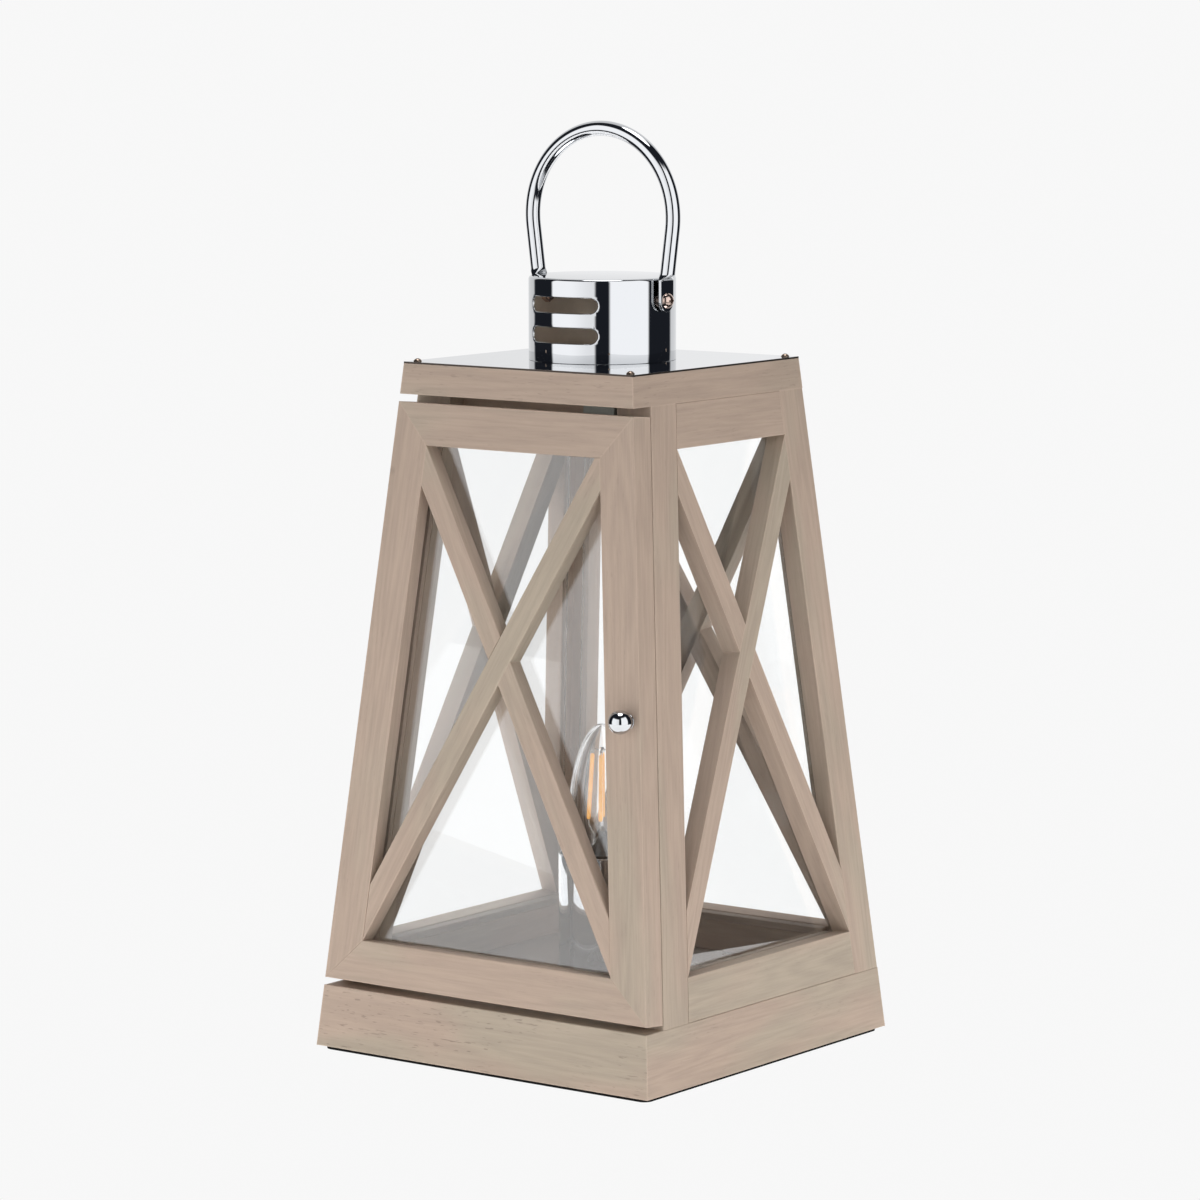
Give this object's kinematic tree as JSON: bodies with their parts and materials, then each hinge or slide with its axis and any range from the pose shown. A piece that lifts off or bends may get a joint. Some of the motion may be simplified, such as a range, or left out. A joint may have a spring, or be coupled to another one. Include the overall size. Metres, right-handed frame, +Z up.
{
  "type": "lantern table lamp",
  "caption": "Tapered wooden lantern lamp with X-braced glazed sides, a hinged glazed door, a polished top with a vent cup and bail handle, and a clear candle bulb.",
  "frame": {"origin": "centre of the underside of the base board", "axes": "+Z up, the door faces -Y, the bail handle pivots along X"},
  "size_m": [0.22, 0.22, 0.4951],
  "materials": {
    "wood": "washed taupe stain on straight-grained softwood, matt",
    "wood_bead": "same stain, thin strips, matt",
    "black_board": "thin board painted black, matt",
    "mirror_plate": "mirror-polished steel sheet",
    "chrome": "bright chrome plate",
    "nickel_cap": "nickel-plated thread",
    "pane_glass": "clear flat pane",
    "bulb_glass": "clear blown glass",
    "filament": "amber phosphor coating, unlit",
    "white_plastic": "moulded off-white, matt",
    "catch_plastic": "moulded pale grey, matt",
    "brass": "plain turned brass",
    "black_plastic": "moulded black, matt",
    "screw_steel": "zinc-plated steel, slightly dull"
  },
  "bodies": {
    "lantern": {"base_board": "black_board", "plinth_front": "wood", "plinth_right": "wood", "plinth_back": "wood", "plinth_left": "wood", "floor_board": "wood", "floor_plate": "mirror_plate", "post_front_left": "wood", "post_front_right": "wood", "post_back_left": "wood", "post_back_right": "wood", "right_rail_top": "wood", "right_rail_bottom": "wood", "right_brace_over": "wood", "right_brace_under": "wood", "right_glass": "pane_glass", "left_rail_top": "wood", "left_rail_bottom": "wood", "left_brace_over": "wood", "left_brace_under": "wood", "left_glass": "pane_glass", "back_rail_top": "wood", "back_rail_bottom": "wood", "back_brace_over": "wood", "back_brace_under": "wood", "back_glass": "pane_glass", "glass_beads": "wood_bead", "front_header": "wood", "head_front": "wood", "head_right": "wood", "head_back": "wood", "head_left": "wood", "cap_plate": "mirror_plate", "cap_screws": "screw_steel", "vent_cup": "chrome", "cup_rivets": "screw_steel", "handle_screws": "screw_steel", "catch_body": "catch_plastic", "hinge_leaves_post": "screw_steel", "hinge_pins": "screw_steel", "hinge_screws_post": "screw_steel", "holder_cover": "chrome", "lamp_holder": "white_plastic", "holder_fittings": "brass", "bulb_cap": "nickel_cap", "bulb_glass": "bulb_glass", "bulb_filaments": "filament", "cable_gland": "black_plastic"},
    "door": {"door_rail_bottom": "wood", "door_stile_right": "wood", "door_rail_top": "wood", "door_stile_left": "wood", "door_brace_over": "wood", "door_brace_under": "wood", "door_glass": "pane_glass", "door_knob": "chrome", "catch_plate": "screw_steel", "hinge_leaves_door": "screw_steel", "hinge_screws_door": "screw_steel"},
    "handle": {"handle": "chrome"}
  },
  "joints": [
    {"name": "door_hinge", "type": "hinge", "parent": "lantern", "child": "door", "pos_m": [-0.09439, -0.07685, 0.19208], "axis": [-0.0948, -0.0948, -0.991], "range_deg": [0, 190]},
    {"name": "handle_pivot", "type": "hinge", "parent": "lantern", "child": "handle", "pos_m": [0, 0, 0.4016], "axis": [1, 0, 0], "range_deg": [-110, 110]}
  ]
}
